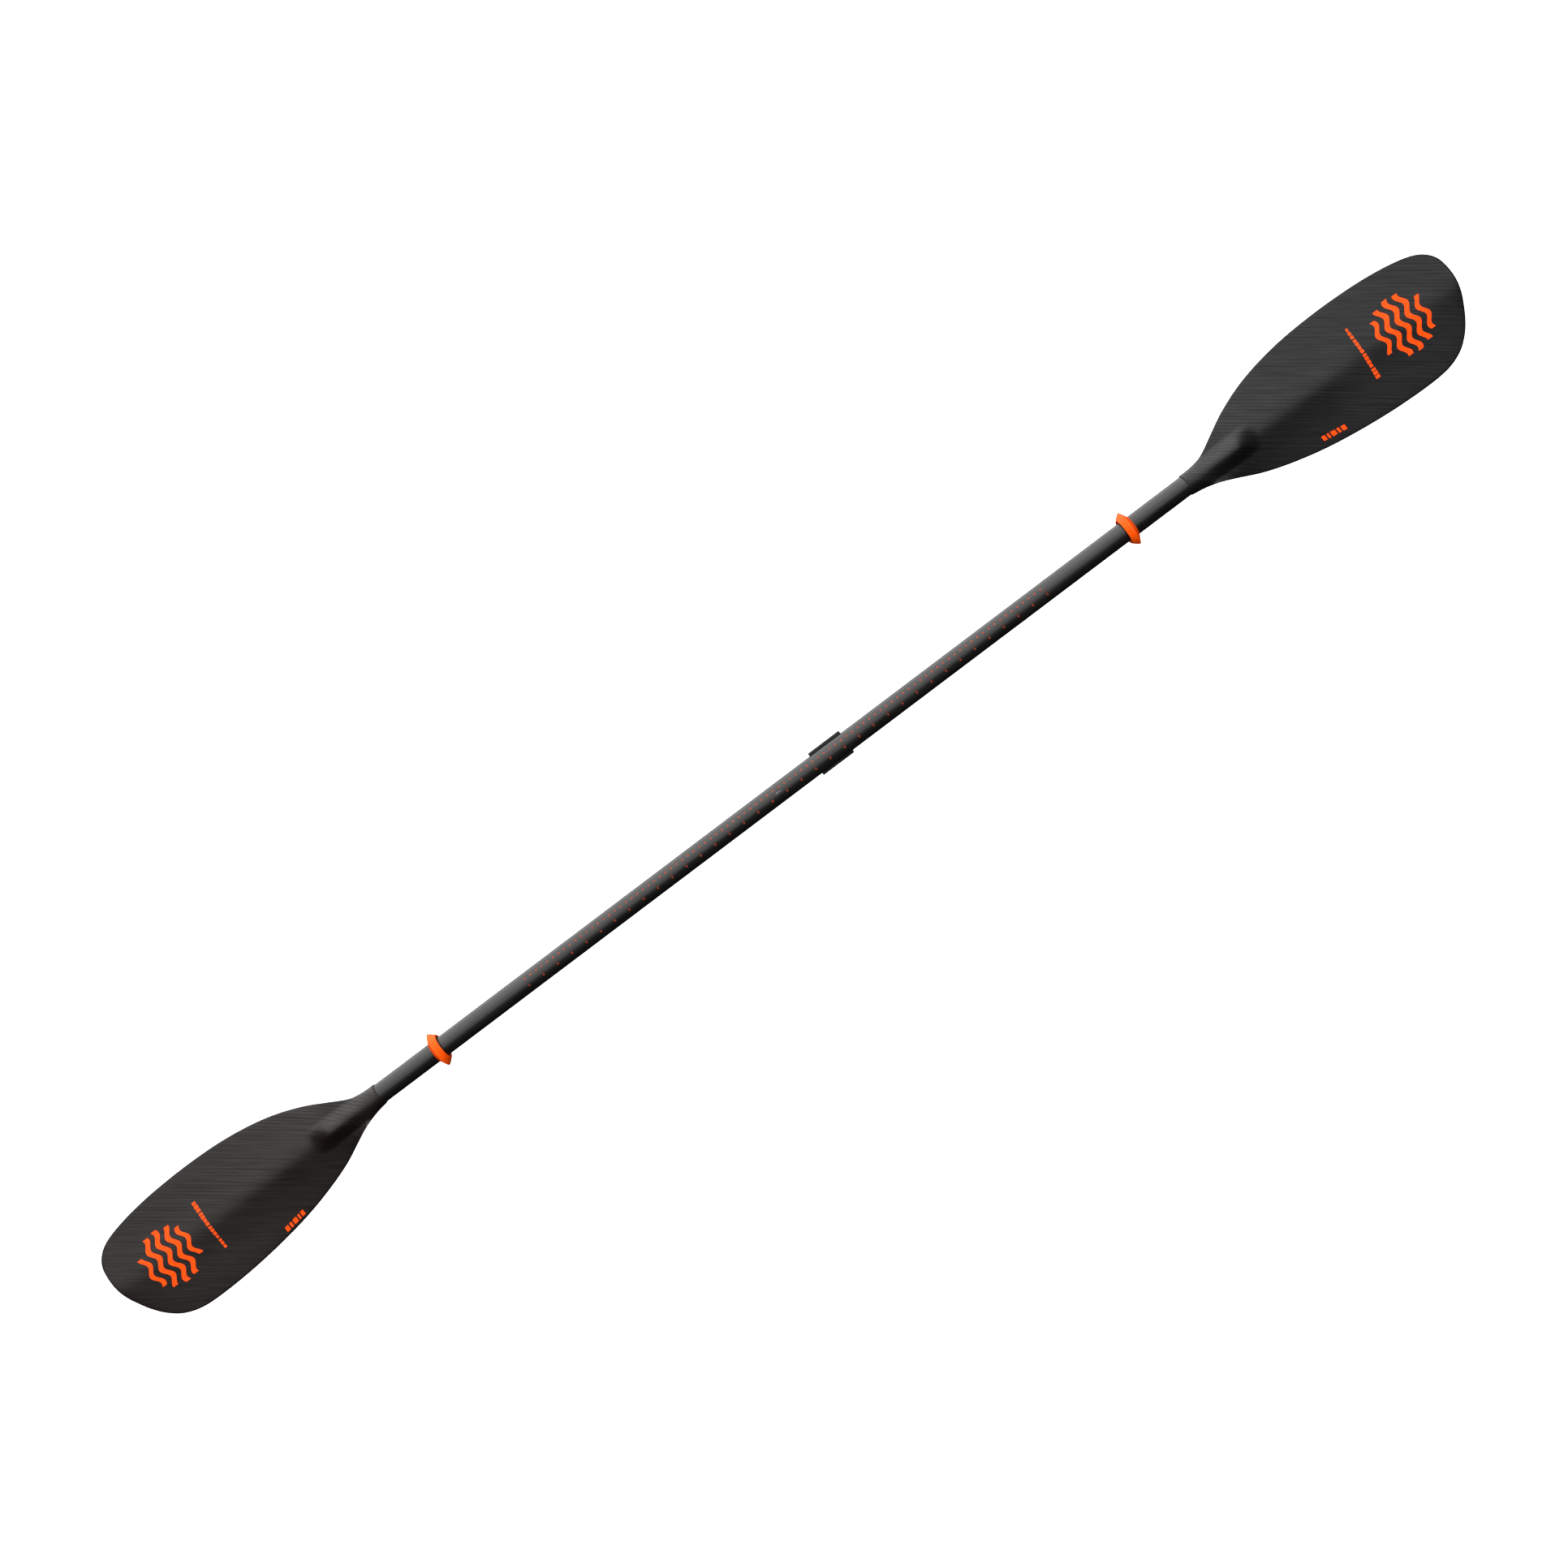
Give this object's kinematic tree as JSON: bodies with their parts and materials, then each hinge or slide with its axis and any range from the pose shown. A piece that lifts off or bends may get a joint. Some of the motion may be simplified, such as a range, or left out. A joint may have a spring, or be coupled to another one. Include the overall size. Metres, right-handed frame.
{
  "type": "kayak paddle",
  "caption": "Double-bladed kayak paddle with a carbon shaft split by a lever-locked telescoping joint, sliding drip rings and spooned asymmetric blades.",
  "frame": {"origin": "on the shaft axis at the middle of the paddle, where the two shaft halves meet", "axes": "+X along the shaft to the half with the clamp, +Z out of the power faces of the blades, +Y to the upper edge of the blades"},
  "size_m": [2.358, 0.1783, 0.0544],
  "materials": {
    "carbon_shaft": "satin clear-coated carbon laminate",
    "carbon_blade": "satin woven carbon laminate",
    "foam": "rigid closed-cell foam",
    "sealant": "matt cured sealant",
    "plug_foam": "closed-cell foam",
    "ring_rubber": "smooth orange rubber",
    "ferrule_glassfibre": "polished black tube",
    "sleeve_plastic": "moulded",
    "black_plastic": "moulded",
    "black_rubber": "smooth",
    "guide_plastic": "machined acetal",
    "clamp_plastic": "fine moulded texture",
    "pin_steel": "ground",
    "rivet_aluminium": "satin"
  },
  "bodies": {
    "right_half": {"right_shaft": "carbon_shaft", "right_blade_face": "carbon_blade", "right_blade_back": "carbon_blade", "right_blade_core": "foam", "right_neck_seal": "sealant", "right_shaft_plug": "plug_foam", "clamp_housing": "clamp_plastic", "lever_pin": "pin_steel", "housing_rivets": "rivet_aluminium"},
    "lever": {"clamp_lever": "clamp_plastic"},
    "shoe": {"pressure_shoe": "guide_plastic"},
    "joint_guide": {"guide_ring": "guide_plastic"},
    "left_half": {"left_shaft": "carbon_shaft", "left_blade_face": "carbon_blade", "left_blade_back": "carbon_blade", "left_blade_core": "foam", "left_neck_seal": "sealant", "left_shaft_plug": "plug_foam", "ferrule_tube": "ferrule_glassfibre", "ferrule_bond_sleeve": "sleeve_plastic", "ferrule_end_plug": "black_plastic", "ferrule_o_ring": "black_rubber"},
    "right_ring": {"right_drip_ring": "ring_rubber"},
    "left_ring": {"left_drip_ring": "ring_rubber"}
  },
  "joints": [
    {"name": "feather_turn", "type": "hinge", "parent": "right_half", "child": "joint_guide", "pos_m": [0, 0, 0], "axis": [1, 0, 0], "continuous": true},
    {"name": "length_slide", "type": "slide", "parent": "joint_guide", "child": "left_half", "axis": [-1, 0, 0], "range_m": [0, 0.2]},
    {"name": "lever_swing", "type": "hinge", "parent": "right_half", "child": "lever", "pos_m": [0.0728, 0, -0.0216], "axis": [0, 1, 0], "range_deg": [0, 120]},
    {"name": "shoe_press", "type": "slide", "parent": "right_half", "child": "shoe", "axis": [0, 0, -1], "range_m": [0, 0.000607]},
    {"name": "right_ring_slide", "type": "slide", "parent": "right_half", "child": "right_ring", "axis": [1, 0, 0], "range_m": [-0.4868, 0.092]},
    {"name": "left_ring_slide", "type": "slide", "parent": "left_half", "child": "left_ring", "axis": [-1, 0, 0], "range_m": [-0.6, 0.0975]}
  ],
  "couplings": [
    {"joint": "shoe_press", "follows": "lever_swing", "m_per_rad": 0.00028944}
  ]
}
